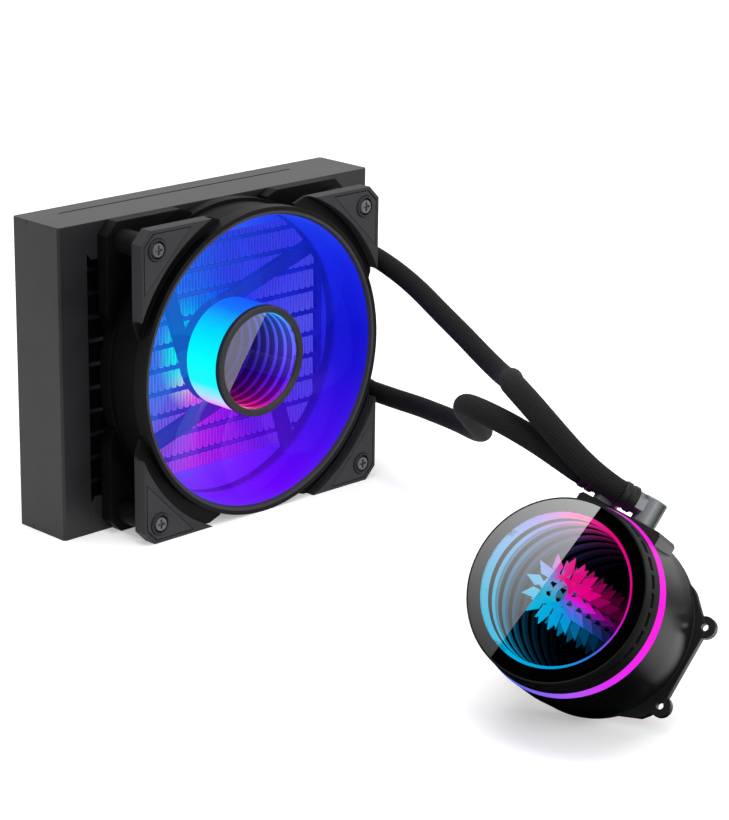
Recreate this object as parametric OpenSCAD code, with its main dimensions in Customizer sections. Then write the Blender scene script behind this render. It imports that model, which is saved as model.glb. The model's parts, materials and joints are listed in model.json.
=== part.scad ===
// Closed-loop liquid cooler for a processor: a radiator with its fan, two sleeved hoses and
// a round pump head with a mirrored, lit face.
// The origin is the centre of the radiator's bottom face. X runs along the radiator,
// +Y from the fan to the radiator's back, +Z up. All sizes are in millimetres.

/* [Radiator] */
// Width of the left tank
left_tank_w = 13; // [11:0.5:16]
// Width of the right tank, which carries the hose ports
right_tank_w = 23; // [21:0.5:26]
// Thickness of the radiator
rad_t = 27; // [25:1:30]
// Height of the radiator
rad_h = 120; // [120:1:126]
// Distance from the fan's middle to the core's left end
core_left = 65; // [64:0.5:67]
// Distance from the fan's middle to the core's right end
core_right = 55; // [55:0.5:57]
// Wall of an end tank
tank_wall = 1.5; // [1.2:0.1:2]
// Thickness of the header plate that closes a tank
header_t = 1.6; // [1.2:0.1:2]
// Bevel on the tanks' outer edges
tank_bevel = 0.8; // [0.5:0.1:1.2]
// Sheet thickness of the top and bottom side plates
plate_t = 1.5; // [1.2:0.1:2]
// Width of a side plate's flange beyond its screw holes
plate_lip = 6.5; // [5:0.5:8]
// Number of flat tubes
tube_n = 12; // [10:1:14]
// Thickness of a flat tube
tube_t = 2; // [1.6:0.1:2.4]
// Depth of a flat tube, front to back
tube_d = 20; // [16:1:21]
// Length of one fold pair of the fins
fin_pitch = 8; // [5:0.5:10]
// Sheet thickness of the fins
fin_t = 0.5; // [0.4:0.1:0.8]

/* [Hose ports] */
// Height of the upper port above the radiator's middle
port_rise = 27; // [26:0.5:28]
// Depth of the lower port below the radiator's middle
port_drop = 29; // [28:0.5:30]
// Distance of a radiator port from the radiator's right end
port_inset = 7; // [6.5:0.5:8]
// Outer radius of a port's flange
port_flange_r = 5.4; // [5:0.1:6]
// Outer radius of the nipple inside the hose
nipple_r = 3; // [2.6:0.1:3.2]
// Radius of the passage through a nipple
nipple_bore_r = 2.1; // [1.8:0.1:2.3]
// Length of a nipple out to the end of its collar
nipple_l = 10.5; // [9.5:0.5:11.5]
// Diameter of a sleeved hose
hose_d = 8; // [7.6:0.1:8.4]
// Outer radius of a crimped collar at a hose end
collar_r = 4.4; // [4.3:0.05:4.5]

/* [Fan] */
// Side of the square fan frame
fan_s = 120; // [119:0.5:120]
// Thickness of the fan frame
fan_t = 25; // [24:0.5:27]
// Spacing of the mounting holes
hole_gap = 105; // [104:0.5:106]
// Thickness of the frame's front and rear flanges
flange_t = 5.5; // [4.5:0.5:6]
// Bevel across the frame's corners
corner_bevel = 4.9; // [4:0.1:6]
// Distance from the middle of a side to where its corner pad begins
pad_start = 24.5; // [22:0.5:28]
// Inner radius of the air duct
duct_r = 56.3; // [55.5:0.1:56.8]
// Wall of the air duct
duct_wall = 2.4; // [2:0.1:2.8]
// Radius of a mounting hole
mount_r = 2.15; // [2:0.05:2.3]
// Number of blades
blade_n = 9; // [7:1:11]
// Running gap between the blade tips and the duct
tip_gap = 0.8; // [0.7:0.1:1.4]
// Thickness of a blade
blade_t = 1.4; // [1.2:0.1:1.8]
// Outer radius of the rotor's hub
hub_r = 21.3; // [20.5:0.1:22]
// Wall of the hub
hub_wall = 1.5; // [1.2:0.1:1.8]
// Radius of the fan shaft
shaft_r = 1.5; // [1.3:0.1:1.8]
// Running clearance round a shaft
run_gap = 0.05; // [0.03:0.01:0.08]
// Width of a strut behind the rotor
strut_w = 5.5; // [4.5:0.5:7]
// Distance of a strut's outer edge line from the fan's centre
strut_offset = 21; // [20:0.5:22]
// Angle of the first strut above the horizontal
strut_angle = 18; // [10:1:30]

/* [Pump head] */
// Height of the pump head, from its base to its glass
pump_h = 43.5; // [42:0.5:46]
// Radius of the pump head at its base
base_r = 31.6; // [31:0.1:32.2]
// Radius of the body under the side light
body_top_r = 31.2; // [30.9:0.1:31.6]
// How far the cap's front rim lies inside the body's top
rim_in = 1.8; // [1.4:0.1:2.2]
// Height of the side light above the base
light_h = 30.2; // [29.8:0.1:31]
// Height of the side light's band
light_band = 4.1; // [3.5:0.1:5]
// Visible radius of the mirror's ring of light
ring_r = 24.7; // [24:0.1:25.4]
// Thickness of the front glass
glass_t = 1.2; // [1:0.1:1.6]
// Number of recesses round the cap
recess_n = 32; // [24:1:36]
// Thickness of the bracket
bracket_t = 2.5; // [2.2:0.1:3]
// Distance between the two ear holes on one side
ear_gap = 28.4; // [26:0.2:29]
// Distance of the ear holes from the pump's axis plane
ear_reach = 32.3; // [32:0.1:33.4]
// Radius of an ear hole
ear_hole_r = 1.2; // [1:0.05:1.5]
// Radius of an ear round its hole
ear_r = 3.6; // [3.2:0.1:4]
// How far the copper cold plate lies inside the edge of the base
plate_in = 3.6; // [3.4:0.1:4.4]
// Thickness of the copper cold plate
cold_t = 3; // [2.4:0.1:3.4]
// How far the cold plate stands out below the base
cold_out = 1.2; // [0.8:0.1:1.5]
// Distance between the two elbows
elbow_gap = 14.6; // [14.6:0.1:16]
// Outer radius of an elbow's upright
elbow_r = 4.2; // [4:0.1:4.3]
// Angle between the elbow outlets and the line through both elbows
outlet_turn = 38; // [38:1:42]
// Number of impeller vanes
vane_n = 6; // [5:1:8]

/* [Pump head's place] */
// Tip of the pump's axis about X
pump_tip = 56.5; // [55:0.5:58]
// Roll of the pump's axis about Y
pump_roll = 13.5; // [12:0.5:15]
// Turn of the pump about Z
pump_turn = -82.5; // [-84:0.5:-81]
// Distance of the pump's base from the origin along X
pump_x = -41; // [-44:0.5:-38]
// Distance of the pump's base from the origin along Y
pump_y = -244; // [-247:0.5:-241]

/* [Hidden] */
$fn = 72;
eps = 0.01;

// Values worked out from the sizes above
core_l = core_left + core_right;
core_mid = (core_right - core_left) / 2;
rad_mid = rad_h / 2;
front_y = -rad_t / 2;
port_x = core_right + right_tank_w - port_inset;
plate_flange = rad_mid - hole_gap / 2 + plate_lip;
fin_gap = (rad_h - 2 * plate_t - tube_n * tube_t) / (tube_n + 1);
row_pitch = fin_gap + tube_t;
hole_r = shaft_r + run_gap;
screw_r = 1.5;
screw_clear = 0.2;
duct_out = duct_r + duct_wall;
ring_out = fan_s / 2;
blade_tip = duct_r - tip_gap;
mount_t = 3;
hub_web = 17;
hub_rim = 21.5;
hub_lens_t = 1;
hub_mirror_t = 2;
mirror_t = 3.6;
motif_t = 0.6;
cap_h0 = light_h + light_band;
deck_h = 11;
deck_t = 1.5;
can_r = 7;
can_wall = 1;
can_h = 20;
board_t = 1.4;
ledge_r = body_top_r - 3.7;
ledge_h = light_h - board_t;
block_w = 31;
block_u = max(base_r, body_top_r) + 0.1;
block_h0 = 15;
elbow_h = 25.5;
elbow_shift = -1;
elbow_top = block_u + 8.8;
outlet_u = block_u + 5.1;
outlet_l = 11;
stem_r = 2.9;
stem_foot = block_u - 6.7;
screw_ring = base_r - 1.8;
cold_ring = base_r - 5.6;
cavity_r = base_r - 7.1;
plate_r = base_r - plate_in;
rim_r = body_top_r - rim_in;
axis_up = cos(pump_tip) * cos(pump_roll);
pump_z = base_r * sqrt(1 - axis_up * axis_up);

// Middle line of the upper hose between the right elbow's collar and the upper port's collar
upper_route = [
    [-51, -249, 78], [-55, -241, 86], [-56, -229, 95], [-51, -215, 99], [-42, -202, 98],
    [-30, -192, 94], [-19, -182, 89], [-7, -171, 84], [5, -160, 79], [17, -150, 74],
    [29, -139, 69], [40, -129, 65], [49, -117, 62], [55, -101, 65], [59, -86, 70],
    [62, -71, 75], [66, -56, 80], [69, -41, 84]
];
// Middle line of the lower hose between the left elbow's collar and the lower port's collar
lower_route = [
    [-51, -237, 80], [-53, -227, 85], [-53, -213, 88], [-51, -199, 89], [-45, -185, 87],
    [-34, -175, 81], [-23, -165, 75], [-11, -156, 69], [0, -147, 63], [11, -138, 57],
    [23, -129, 51], [34, -120, 45], [45, -111, 40], [54, -100, 35], [60, -86, 34],
    [64, -70, 33], [68, -55, 32], [70, -40, 31]
];

// Colours
c_black = [0.16, 0.16, 0.17];
c_frame = [0.26, 0.26, 0.27];
c_steel = [0.7, 0.7, 0.72];
c_copper = [0.72, 0.43, 0.27];
c_hose = [0.11, 0.11, 0.12];
c_glow = [0.1, 0.1, 0.9];
c_cyan = [0.1, 0.75, 0.95];
c_pink = [0.95, 0.1, 0.75];
c_glass = [0.35, 0.35, 0.38, 0.6];
c_mirror = [0.55, 0.56, 0.6];
c_board = [0.08, 0.2, 0.12];

// Puts children on the radiator's front face with local Z towards the front
module on_front(x, z) {
    translate([x, front_y, z]) rotate([90, 0, 0]) children();
}

// Puts children on the fan's own axis, local Z towards the front
module on_fan() {
    on_front(0, rad_mid) children();
}

// Puts children on the pump's own axes: local Z out of the glass, local Y towards the hoses
module on_pump() {
    translate([pump_x, pump_y, pump_z]) rotate([pump_tip, pump_roll, pump_turn]) children();
}

// Ring with a square section
module ring(outer, inner, height) {
    difference() {
        cylinder(r = outer, h = height);
        translate([0, 0, -1]) cylinder(r = inner, h = height + 2);
    }
}

// The four mounting hole places
module at_corners() {
    for (sx = [-1, 1])
        for (sy = [-1, 1])
            translate([sx * hole_gap / 2, sy * hole_gap / 2, 0]) children();
}

// End tank as a channel, open towards the core, with bevelled outer edges
module tank_shell(width) {
    b = tank_bevel;
    difference() {
        linear_extrude(rad_h)
            polygon([[0, b], [b, 0], [width, 0], [width, rad_t], [b, rad_t], [0, rad_t - b]]);
        translate([tank_wall, tank_wall, tank_wall])
            cube([width, rad_t - 2 * tank_wall, rad_h - 2 * tank_wall]);
    }
}

module left_tank() {
    color(c_black)
        translate([-core_left - left_tank_w, front_y, 0]) tank_shell(left_tank_w);
}

module right_tank() {
    color(c_black)
        difference() {
            mirror([1, 0, 0])
                translate([-core_right - right_tank_w, front_y, 0]) tank_shell(right_tank_w);
            for (rise = [port_rise, -port_drop])
                on_front(port_x, rad_mid + rise)
                    translate([0, 0, -tank_wall - 1]) cylinder(r = nipple_bore_r, h = tank_wall + 2);
            on_front(port_x, rad_mid)
                translate([0, 0, -tank_wall - 1]) cylinder(r = screw_r, h = tank_wall + 2);
        }
}

// Plate that fills a tank's mouth; the flat tubes end on it
module header_plate() {
    translate([0, front_y + tank_wall, tank_wall])
        cube([header_t, rad_t - 2 * tank_wall, rad_h - 2 * tank_wall]);
}

module left_header() {
    color(c_black)
        translate([-core_left - header_t, 0, 0]) header_plate();
}

module right_header() {
    color(c_black)
        translate([core_right, 0, 0]) header_plate();
}

// Channel of folded sheet over the core, with the screw holes in its two flanges
module side_plate() {
    seam_w = 1;
    seam_y = 4.5;
    relief = 2;
    difference() {
        translate([-core_left, -rad_t / 2, 0]) cube([core_l, rad_t, plate_flange]);
        translate([-core_left - 1, -rad_t / 2 + plate_t, plate_t])
            cube([core_l + 2, rad_t - 2 * plate_t, plate_flange]);
        translate([-core_left + 2, seam_y, -1]) cube([core_l - 4, seam_w, 1.8]);
        for (sx = [-1, 1]) {
            translate([sx * hole_gap / 2, 0, rad_mid - hole_gap / 2])
                rotate([90, 0, 0]) {
                    cylinder(r = screw_r + 0.02, h = rad_t);
                    translate([0, 0, -rad_t]) cylinder(r = screw_r + screw_clear, h = rad_t);
                }
            translate([core_mid + sx * core_l / 2, 0, plate_flange])
                rotate([90, 0, 0])
                    cylinder(r = relief, h = rad_t + 2, center = true);
        }
    }
}

module bottom_side_plate() {
    color(c_black) side_plate();
}

module top_side_plate() {
    color(c_black)
        translate([0, 0, rad_h]) mirror([0, 0, 1]) side_plate();
}

// Flat tubes with round edges, running from header to header
module flat_tubes() {
    r = tube_t / 2;
    color(c_black)
        for (i = [0 : tube_n - 1])
            translate([-core_left, 0, plate_t + fin_gap + i * row_pitch + r])
                rotate([90, 0, 90])
                    linear_extrude(core_l) {
                        square([tube_d - tube_t, tube_t], center = true);
                        translate([tube_d / 2 - r, 0]) circle(r = r);
                        translate([r - tube_d / 2, 0]) circle(r = r);
                    }
}

// One folded fin strip, as a zigzag band as tall as the gap between two tubes.
// Its folds are flat where they meet the tubes.
module fin_strip() {
    folds = 2 * floor((core_l - fin_pitch) / fin_pitch);
    half = fin_pitch / 2;
    start = -folds * half / 2;
    flat = 0.6 * fin_t;
    depth = tube_d - 1;
    over = [
        for (i = [0 : folds])
            let (x = start + i * half)
            each (i % 2 == 1 ? [[x - flat, fin_gap], [x + flat, fin_gap]] : [[x, fin_t]])
    ];
    under = [
        for (i = [folds : -1 : 0])
            let (x = start + i * half)
            each (i % 2 == 1 ? [[x, fin_gap - fin_t]] : [[x + flat, 0], [x - flat, 0]])
    ];
    translate([0, depth / 2, 0])
        rotate([90, 0, 0])
            linear_extrude(depth) polygon(concat(over, under));
}

module fin_stack() {
    color(c_black)
        for (i = [0 : tube_n])
            translate([core_mid, 0, plate_t + i * row_pitch]) fin_strip();
}

// Screw that closes the filling hole of the right tank
module fill_plug() {
    color(c_steel)
        on_front(port_x, rad_mid)
            difference() {
                union() {
                    cylinder(r = 3, h = 1.2);
                    translate([0, 0, -tank_wall]) cylinder(r = screw_r - 0.02, h = tank_wall + eps);
                }
                translate([0, 0, 0.5]) cylinder(r = 1.2, h = 2, $fn = 6);
            }
}

// Nipple brazed to the tank's front: flange and a barbed tube
module port() {
    color(c_black)
        rotate_extrude()
            polygon([
                [nipple_bore_r, 0], [port_flange_r, 0], [port_flange_r, 1.2], [port_flange_r - 0.4, 1.6],
                [nipple_r, 1.6], [nipple_r, nipple_l - 1.5], [nipple_r - 0.3, nipple_l - 0.1],
                [nipple_bore_r, nipple_l - 0.1]
            ]);
}

// Crimped collar round a nipple, rolled in at both ends
module collar(from, to, inner) {
    rotate_extrude()
        polygon([
            [inner, from], [collar_r - 0.4, from], [collar_r, from + 0.4], [collar_r, from + 2],
            [collar_r - 0.3, from + 2.4], [collar_r - 0.3, to - 2.4], [collar_r, to - 2],
            [collar_r, to - 0.5], [hose_d / 2 + 0.1, to], [inner, to]
        ]);
}

module upper_port() {
    on_front(port_x, rad_mid + port_rise) port();
}

module lower_port() {
    on_front(port_x, rad_mid - port_drop) port();
}

module upper_port_collar() {
    color(c_hose)
        on_front(port_x, rad_mid + port_rise) collar(1.7, nipple_l, nipple_r + run_gap);
}

module lower_port_collar() {
    color(c_hose)
        on_front(port_x, rad_mid - port_drop) collar(1.7, nipple_l, nipple_r + run_gap);
}

// Quarter of the frame's outline: a corner pad whose sides step in to the round duct
module corner_outline() {
    s = fan_s / 2;
    p = pad_start;
    c = corner_bevel;
    polygon([
        [p - 5.5, s - 2], [p, s], [s - c, s], [s, s - c], [s, p], [s - 2, p - 5.5],
        [s - 20, p - 5.5], [p - 5.5, s - 20]
    ]);
}

module frame_outline() {
    circle(r = ring_out);
    for (a = [0 : 90 : 270])
        rotate(a) corner_outline();
}

// Triangle of a corner pad, held back from the frame's edges
module pad_shape(inset) {
    s = fan_s / 2 - 1.2 - inset;
    c = corner_bevel - 0.4;
    t = 36 + 1.7 * inset;
    polygon([[t, s], [s - c, s], [s, s - c], [s, t]]);
}

// Front flange of the square frame: lip of the duct, groove, screw seats and beds of the pads
module fan_frame() {
    rim_top = 0.5;
    rim_r0 = mount_r + 1.95;
    z0 = fan_t - flange_t;
    color(c_frame)
        on_fan()
            difference() {
                union() {
                    translate([0, 0, z0]) linear_extrude(flange_t) frame_outline();
                    at_corners() translate([0, 0, z0]) cylinder(r = rim_r0, h = flange_t + rim_top);
                }
                translate([0, 0, z0 - 1]) cylinder(r = duct_r, h = flange_t + 2);
                translate([0, 0, fan_t - 2.5]) cylinder(r1 = duct_r, r2 = duct_r + 1, h = 2.5 + eps);
                translate([0, 0, z0 + 1.5]) ring(ring_out + 5.5, ring_out, flange_t);
                at_corners() translate([0, 0, z0 - 1]) cylinder(r = mount_r, h = flange_t + 3);
                at_corners() translate([0, 0, fan_t - 1.2]) cylinder(r = mount_r + 1.3, h = 3);
                for (a = [0 : 90 : 270])
                    rotate(a)
                        translate([0, 0, fan_t - 0.8])
                            linear_extrude(2)
                                difference() {
                                    pad_shape(0);
                                    translate([hole_gap / 2, hole_gap / 2]) circle(r = rim_r0);
                                }
            }
}

// Round duct between the flanges, with a post round each screw
module fan_duct() {
    post_r = 4.6;
    color(c_frame)
        on_fan()
            translate([0, 0, flange_t]) {
                ring(duct_out, duct_r, fan_t - 2 * flange_t);
                at_corners() ring(post_r, mount_r, fan_t - 2 * flange_t);
            }
}

// Rear flange, with the four struts and the motor's seat
module fan_rear_frame() {
    color(c_frame)
        on_fan()
            difference() {
                linear_extrude(flange_t) frame_outline();
                translate([0, 0, mount_t]) cylinder(r = duct_r, h = fan_t);
                difference() {
                    translate([0, 0, -1]) cylinder(r = duct_r, h = mount_t + 2);
                    cylinder(r = hub_r, h = mount_t);
                    for (i = [0 : 3])
                        rotate(strut_angle + 90 * i)
                            translate([0, strut_offset - strut_w, -2]) cube([duct_r + 4, strut_w, 8]);
                }
                at_corners() translate([0, 0, -1]) cylinder(r = mount_r, h = fan_t + 3);
                translate([0, 0, mount_t - 1.5]) cylinder(r = 4, h = 3);
            }
}

// Four thin pads in the corners of the front
module corner_pads() {
    color(c_frame)
        on_fan()
            for (a = [0 : 90 : 270])
                rotate(a)
                    translate([0, 0, fan_t - 0.8])
                        linear_extrude(0.8)
                            difference() {
                                pad_shape(0.35);
                                translate([hole_gap / 2, hole_gap / 2]) circle(r = mount_r + 2.25);
                            }
}

// Four pan-head screws from the fan's front into the radiator's flanges
module fan_screws() {
    head_r = 3;
    head_h = 2;
    color(c_steel)
        on_fan()
            at_corners() {
                difference() {
                    union() {
                        translate([0, 0, fan_t - 1.2]) cylinder(r1 = head_r, r2 = head_r - 0.5, h = head_h);
                        translate([0, 0, -plate_t - 1]) cylinder(r = screw_r, h = fan_t + plate_t);
                    }
                    for (a = [0, 90])
                        rotate(a)
                            translate([-1.8, -0.45, fan_t - 0.2]) cube([3.6, 0.9, 2]);
                }
            }
}

module fan_bearing() {
    color(c_steel)
        on_fan()
            translate([0, 0, mount_t - 1.5]) ring(4, hole_r, 12.5);
}

// Four wound poles round the bearing
module fan_stator() {
    color(c_copper)
        on_fan()
            translate([0, 0, mount_t + 1.4])
                linear_extrude(9) {
                    difference() {
                        circle(r = 7);
                        circle(r = 4);
                    }
                    for (a = [45 : 90 : 315])
                        rotate(a) {
                            translate([6, -2.5]) square([8, 5]);
                            intersection() {
                                difference() {
                                    circle(r = 15.4);
                                    circle(r = 13.4);
                                }
                                translate([10, -8]) square([8, 16]);
                            }
                        }
                }
}

module fan_board() {
    color(c_board)
        on_fan()
            translate([0, 0, mount_t]) ring(15, 4, 1.4);
}

module fan_shaft() {
    color(c_steel)
        on_fan()
            translate([0, 0, mount_t + 1]) cylinder(r = shaft_r, h = hub_web - mount_t - 2);
}

// Point on a blade's middle surface: f from hub to tip, g from leading to trailing edge.
// The chord turns through an angle round the axis while it sinks along the axis,
// steeply at the hub and flatter at the tip, with a little camber.
function blade_point(f, g, drop) =
    let (
        r = (hub_r + 0.04) * (1 - f) + blade_tip * f,
        sweep = 26 * f * f,
        a = sweep + g * (33 + 5 * f),
        rise = 14.2 - 4.6 * f,
        z = 12.4 + rise * (0.5 - g) + 1.6 * sin(180 * g) - drop
    )
    [r * cos(a), r * sin(a), z];

// Blade as a closed skin: an upper and a lower grid, joined round their edges
module blade() {
    nf = 5;
    ng = 6;
    row = ng + 1;
    half = (nf + 1) * row;
    upper = [for (i = [0 : nf]) for (j = [0 : ng]) blade_point(i / nf, j / ng, 0)];
    lower = [for (i = [0 : nf]) for (j = [0 : ng]) blade_point(i / nf, j / ng, blade_t)];
    grid = [for (i = [0 : nf - 1]) for (j = [0 : ng - 1]) i * row + j];
    top = [for (k = grid) each [[k, k + row, k + row + 1], [k, k + row + 1, k + 1]]];
    bottom = [for (t = top) [t[2] + half, t[1] + half, t[0] + half]];
    rim = concat(
        [for (j = [0 : ng]) j],
        [for (i = [1 : nf]) i * row + ng],
        [for (j = [1 : ng]) nf * row + ng - j],
        [for (i = [1 : nf - 1]) (nf - i) * row]
    );
    m = len(rim);
    side = [
        for (k = [0 : m - 1])
            let (a = rim[k], b = rim[(k + 1) % m])
            each [[a, b, b + half], [a, b + half, a + half]]
    ];
    skin = [for (t = concat(top, bottom, side)) [t[2], t[1], t[0]]];
    polyhedron(points = concat(upper, lower), faces = skin, convexity = 6);
}

// Hub cup with its web and the boss for the shaft
module fan_rotor() {
    color(c_glow)
        on_fan()
            rotate_extrude()
                polygon([
                    [shaft_r, hub_web - 2.4], [3.4, hub_web - 2.4], [3.4, hub_web - 1.5],
                    [hub_r - hub_wall, hub_web - 1.5], [hub_r - hub_wall, mount_t + 1.6],
                    [hub_r, mount_t + 1.6], [hub_r, hub_rim], [hub_r - hub_wall, hub_rim],
                    [hub_r - hub_wall, hub_web], [0, hub_web], [0, hub_web - 1], [shaft_r, hub_web - 1]
                ]);
}

module fan_blades() {
    color(c_glow)
        on_fan()
            for (k = [0 : blade_n - 1])
                rotate(k * 360 / blade_n) blade();
}

module magnet_ring() {
    color(c_steel)
        on_fan()
            translate([0, 0, mount_t + 2])
                ring(hub_r - hub_wall, hub_r - hub_wall - 3.2, hub_web - mount_t - 3.5);
}

module hub_mirror() {
    color(c_mirror)
        on_fan()
            translate([0, 0, hub_web]) cylinder(r = hub_r - hub_wall, h = hub_mirror_t);
}

module hub_light_ring() {
    color(c_cyan)
        on_fan()
            translate([0, 0, hub_web + hub_mirror_t])
                ring(hub_r - hub_wall, hub_r - hub_wall - 1.2, hub_rim - hub_web - hub_mirror_t);
}

module hub_lens() {
    color(c_glass)
        on_fan()
            translate([0, 0, hub_rim]) cylinder(r = hub_r - hub_wall, h = hub_lens_t);
}

module hub_bezel() {
    out_r = hub_r + 0.4;
    lens_r = hub_r - hub_wall;
    top = hub_rim + 2.3;
    color(c_frame)
        on_fan()
            rotate_extrude()
                polygon([
                    [lens_r, hub_rim], [out_r, hub_rim], [out_r, top - 0.5], [out_r - 0.5, top],
                    [lens_r - 0.5, top], [lens_r - 0.9, top - 0.4], [lens_r - 0.9, hub_rim + hub_lens_t],
                    [lens_r, hub_rim + hub_lens_t]
                ]);
}

// Moulded pump body: barrel, deck and rotor can in one profile, with the port block at its side
module pump_body() {
    color(c_black)
        on_pump()
            difference() {
                union() {
                    rotate_extrude()
                        polygon([
                            [cavity_r, bracket_t], [base_r - 0.6, bracket_t], [base_r, bracket_t + 0.6],
                            [base_r + 0.3, 14], [body_top_r, light_h], [ledge_r + 1.8, light_h],
                            [ledge_r + 1.8, ledge_h], [ledge_r, ledge_h], [ledge_r, deck_h + deck_t],
                            [can_r + can_wall, deck_h + deck_t], [can_r + can_wall, can_h + 1.5],
                            [0, can_h + 1.5], [0, can_h], [can_r, can_h], [can_r, deck_h],
                            [cavity_r, deck_h]
                        ]);
                    difference() {
                        translate([-block_w / 2, 22, block_h0])
                            cube([block_w, block_u - 22, light_h - block_h0]);
                        translate([0, 0, ledge_h]) cylinder(r = ledge_r + 1.8, h = 5);
                        for (s = [-1, 1])
                            translate([s * block_w / 2, block_u, 0])
                                rotate(45) cube([1.4, 1.4, 80], center = true);
                    }
                }
                for (s = [-1, 1])
                    translate([elbow_shift + s * elbow_gap / 2, 0, elbow_h])
                        rotate([-90, 0, 0])
                            translate([0, 0, stem_foot]) cylinder(r = stem_r + run_gap, h = 20);
                translate([0, 0, can_h - 1]) cylinder(r = 1, h = 1.7);
                for (a = [30 : 60 : 330])
                    rotate(a) translate([cold_ring, 0, 0]) cylinder(r = 0.8, h = 8, $fn = 24);
                for (a = [45 : 90 : 315])
                    rotate(a) translate([screw_ring, 0, 0]) cylinder(r = 0.8, h = 8, $fn = 24);
            }
}

// Bracket in one plate: ring under the body with two eared wings
module pump_bracket() {
    e = ear_gap / 2;
    w = base_r + 1.6;
    color(c_black)
        on_pump()
            difference() {
                linear_extrude(bracket_t) {
                    circle(r = base_r);
                    for (s = [0, 1])
                        mirror([s, 0]) {
                            polygon([
                                [16, 26], [22.8, 23.2], [24, 22.4], [28.6, 18], [w, e], [w, -e],
                                [30.4, -18.6], [28.6, -20.6], [21.4, -23.4], [16, -26]
                            ]);
                            for (t = [-1, 1])
                                translate([ear_reach, t * e]) circle(r = ear_r);
                        }
                }
                translate([0, 0, -1]) cylinder(r = plate_r + 0.3, h = bracket_t + 2);
                for (s = [-1, 1])
                    for (t = [-1, 1])
                        translate([s * ear_reach, t * e, -1]) cylinder(r = ear_hole_r, h = bracket_t + 2);
                for (a = [45 : 90 : 315])
                    rotate(a) translate([screw_ring, 0, -1]) cylinder(r = 0.85, h = bracket_t + 2, $fn = 24);
            }
}

module bracket_screws() {
    color(c_steel)
        on_pump()
            for (a = [45 : 90 : 315])
                rotate(a)
                    translate([screw_ring, 0, 0]) {
                        translate([0, 0, -0.6]) cylinder(r = 1.4, h = 0.6);
                        translate([0, 0, -eps]) cylinder(r = 0.75, h = 7);
                    }
}

// Copper plate with a square field of thin fins on its wet side
module cold_plate() {
    fins = 11;
    field = 22;
    color(c_copper)
        on_pump()
            difference() {
                union() {
                    translate([0, 0, -cold_out]) cylinder(r = plate_r, h = cold_t);
                    for (i = [0 : fins - 1])
                        translate([(i - (fins - 1) / 2) * field / fins - 0.5, -field / 2, 0])
                            cube([1, field, cold_t - cold_out + 3]);
                }
                for (a = [30 : 60 : 330])
                    rotate(a)
                        translate([cold_ring, 0, -cold_out - 1]) {
                            cylinder(r = 0.85, h = cold_t + 2, $fn = 24);
                            cylinder(r = 1.5, h = 2, $fn = 24);
                        }
            }
}

module cold_plate_screws() {
    color(c_steel)
        on_pump()
            for (a = [30 : 60 : 330])
                rotate(a)
                    translate([cold_ring, 0, -cold_out]) {
                        translate([0, 0, 0.2]) cylinder(r = 1.4, h = 0.8, $fn = 24);
                        translate([0, 0, 0.8]) cylinder(r = 0.75, h = 7, $fn = 24);
                    }
}

module base_gasket() {
    color(c_hose)
        on_pump()
            translate([0, 0, cold_t - cold_out]) ring(cavity_r + 0.6, cavity_r, bracket_t - cold_t + cold_out);
}

module pump_shaft() {
    color(c_steel)
        on_pump()
            translate([0, 0, 7.2]) cylinder(r = 1, h = can_h + 0.7 - 7.2);
}

// Impeller: magnet hub in the can and slanted vanes over the cold plate's fins
module impeller() {
    disc_h = 8.4;
    vane_h = 2;
    color(c_steel)
        on_pump()
            difference() {
                union() {
                    translate([0, 0, disc_h]) cylinder(r = 13, h = 1.4);
                    translate([0, 0, disc_h + 1]) cylinder(r = can_r - 0.6, h = can_h - disc_h - 2);
                    translate([0, 0, disc_h - vane_h]) cylinder(r = 3, h = vane_h + 0.5);
                    for (k = [0 : vane_n - 1])
                        rotate(k * 360 / vane_n)
                            translate([1.5, 1.2, disc_h - vane_h]) cube([10.5, 1, vane_h + 0.5]);
                }
                translate([0, 0, 5]) cylinder(r = 1 + run_gap, h = 20);
            }
}

module pump_stator() {
    color(c_copper)
        on_pump()
            translate([0, 0, deck_h + deck_t])
                linear_extrude(8)
                    difference() {
                        circle(r = 16);
                        circle(r = can_r + can_wall);
                        for (a = [30 : 60 : 330])
                            rotate(a) translate([10.5, -0.8]) square([7, 1.6]);
                    }
}

module pump_board() {
    color(c_board)
        on_pump()
            translate([0, 0, ledge_h]) cylinder(r = ledge_r + 1.6, h = board_t);
}

// Band of light guide between the body and the cap
module side_light() {
    color(c_pink)
        on_pump()
            rotate_extrude()
                polygon([
                    [ledge_r - 1.5, light_h], [body_top_r, light_h], [body_top_r - 0.6, cap_h0],
                    [ledge_r - 1.5, cap_h0]
                ]);
}

// Cap: tapered side with a row of recesses, a bed for the glass and a well for the mirror
module pump_cap() {
    side_r = body_top_r - 0.6;
    well_r = ledge_r - 0.5;
    rec_l = 4.4;
    rec_h = 2;
    color(c_black)
        on_pump()
            difference() {
                rotate_extrude()
                    polygon([
                        [well_r, cap_h0], [side_r, cap_h0], [rim_r + 0.2, pump_h - 0.6], [rim_r, pump_h],
                        [rim_r - 0.5, pump_h], [rim_r - 0.5, pump_h - glass_t], [well_r, pump_h - glass_t]
                    ]);
                for (k = [0 : recess_n - 1])
                    rotate(k * 360 / recess_n)
                        translate([rim_r - 0.2, -rec_l / 2, pump_h - 5.4]) cube([3, rec_l, rec_h]);
            }
}

module pump_mirror() {
    color(c_mirror)
        on_pump()
            translate([0, 0, cap_h0]) cylinder(r = ledge_r - 0.5, h = mirror_t);
}

module mirror_light_ring() {
    color(c_cyan)
        on_pump()
            translate([0, 0, cap_h0 + mirror_t])
                ring(ledge_r - 0.5, ring_r - 1, pump_h - glass_t - cap_h0 - mirror_t);
}

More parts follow.
